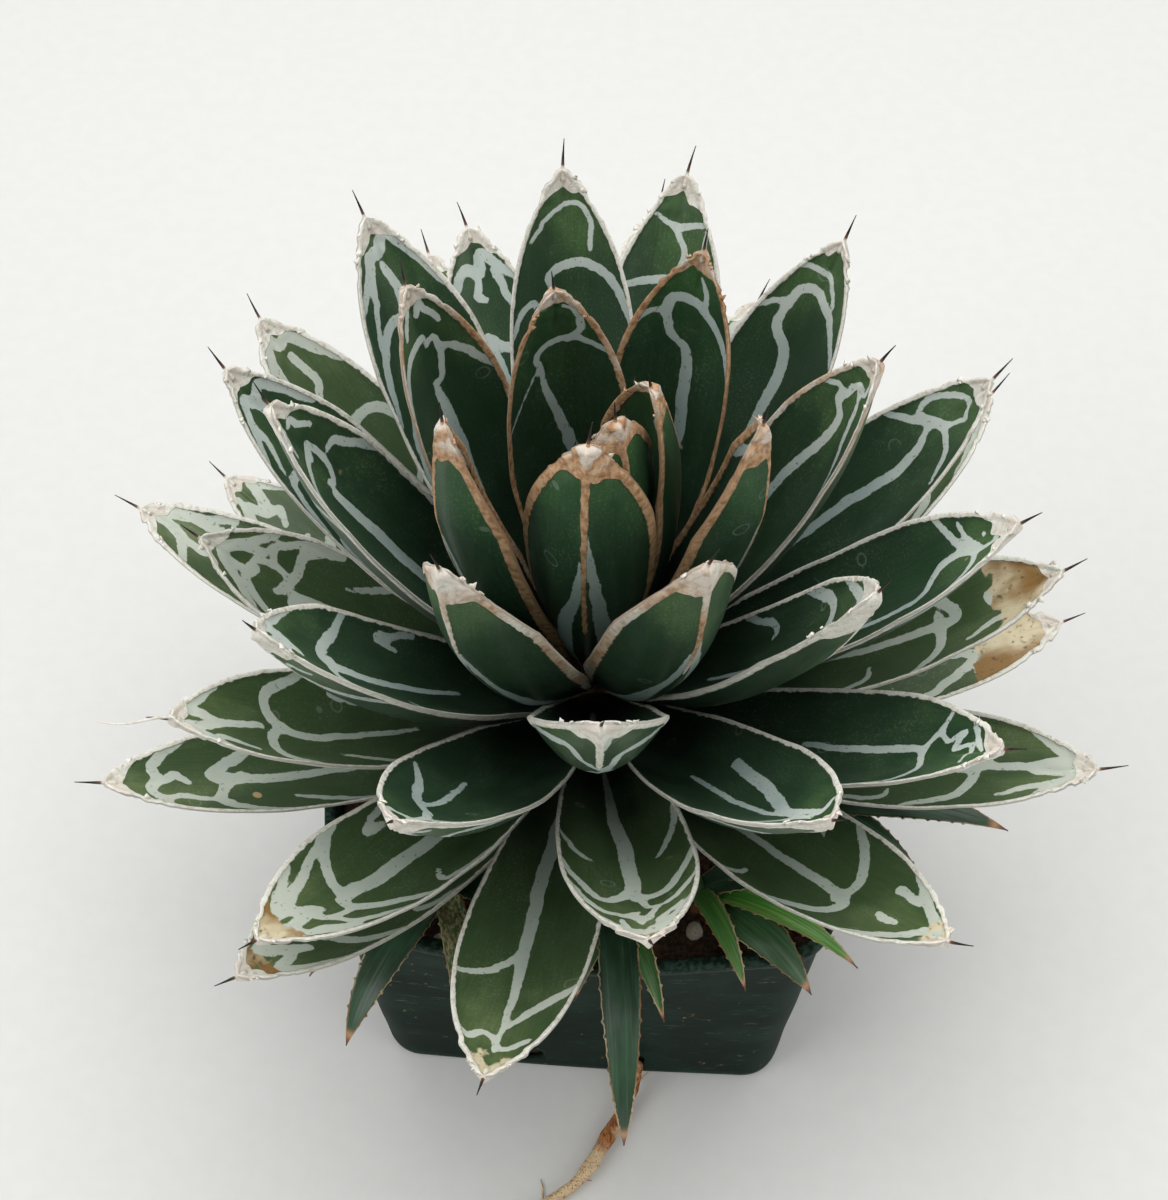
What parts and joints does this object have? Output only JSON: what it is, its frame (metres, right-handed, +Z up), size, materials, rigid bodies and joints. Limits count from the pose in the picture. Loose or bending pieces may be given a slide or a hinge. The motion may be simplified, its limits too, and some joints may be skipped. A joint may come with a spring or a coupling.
{
  "type": "potted agave",
  "caption": "Compact white-marked agave rosette of thick keeled leaves with terminal spines, with offsets, in a square tapered plastic nursery pot.",
  "frame": {"origin": "centre of the pot's underside, on the floor", "axes": "+Z up; -Y towards the pot's front face, where the root comes out; +X to the right seen from the front"},
  "size_m": [0.207, 0.2016, 0.1967],
  "materials": {
    "pot_plastic": "thin dark green moulded polypropylene, scuffed",
    "potting_soil": "dry gritty potting mix",
    "stem_bark": "dry fibrous stem with old leaf scars",
    "young_leaf": "smooth waxy leaf with tan horny margins",
    "mature_leaf": "smooth waxy leaf with white horny margins and bud imprints",
    "old_leaf": "duller ageing leaf, partly dried at the tip",
    "offset_leaf": "narrow waxy leaf with fine teeth",
    "root_bark": "dry wiry root",
    "pumice": "rough fired clay and pumice grains"
  },
  "bodies": {
    "root": {"pot": "pot_plastic", "soil": "potting_soil", "stem": "stem_bark", "leaf_01": "young_leaf", "leaf_02": "young_leaf", "leaf_03": "young_leaf", "leaf_04": "young_leaf", "leaf_05": "young_leaf", "leaf_06": "young_leaf", "leaf_07": "young_leaf", "leaf_08": "young_leaf", "leaf_09": "young_leaf", "leaf_10": "mature_leaf", "leaf_11": "mature_leaf", "leaf_12": "mature_leaf", "leaf_13": "mature_leaf", "leaf_14": "mature_leaf", "leaf_15": "mature_leaf", "leaf_16": "mature_leaf", "leaf_17": "mature_leaf", "leaf_18": "mature_leaf", "leaf_19": "mature_leaf", "leaf_20": "mature_leaf", "leaf_21": "mature_leaf", "leaf_22": "mature_leaf", "leaf_23": "mature_leaf", "leaf_24": "mature_leaf", "leaf_25": "mature_leaf", "leaf_26": "mature_leaf", "leaf_27": "mature_leaf", "leaf_28": "mature_leaf", "leaf_29": "mature_leaf", "leaf_30": "mature_leaf", "leaf_31": "mature_leaf", "leaf_32": "mature_leaf", "leaf_33": "mature_leaf", "leaf_34": "mature_leaf", "leaf_35": "mature_leaf", "leaf_36": "mature_leaf", "leaf_37": "mature_leaf", "leaf_38": "mature_leaf", "leaf_39": "mature_leaf", "leaf_40": "mature_leaf", "leaf_41": "mature_leaf", "leaf_42": "mature_leaf", "leaf_43": "mature_leaf", "leaf_44": "old_leaf", "leaf_45": "old_leaf", "leaf_46": "old_leaf", "leaf_47": "old_leaf", "offset_front_left": "offset_leaf", "offset_front": "offset_leaf", "offset_front_right": "offset_leaf", "offset_right": "offset_leaf", "offset_back": "offset_leaf", "escaped_root": "root_bark", "pebble_left": "pumice", "pebble_front": "pumice", "pebble_right": "pumice"}
  },
  "joints": []
}
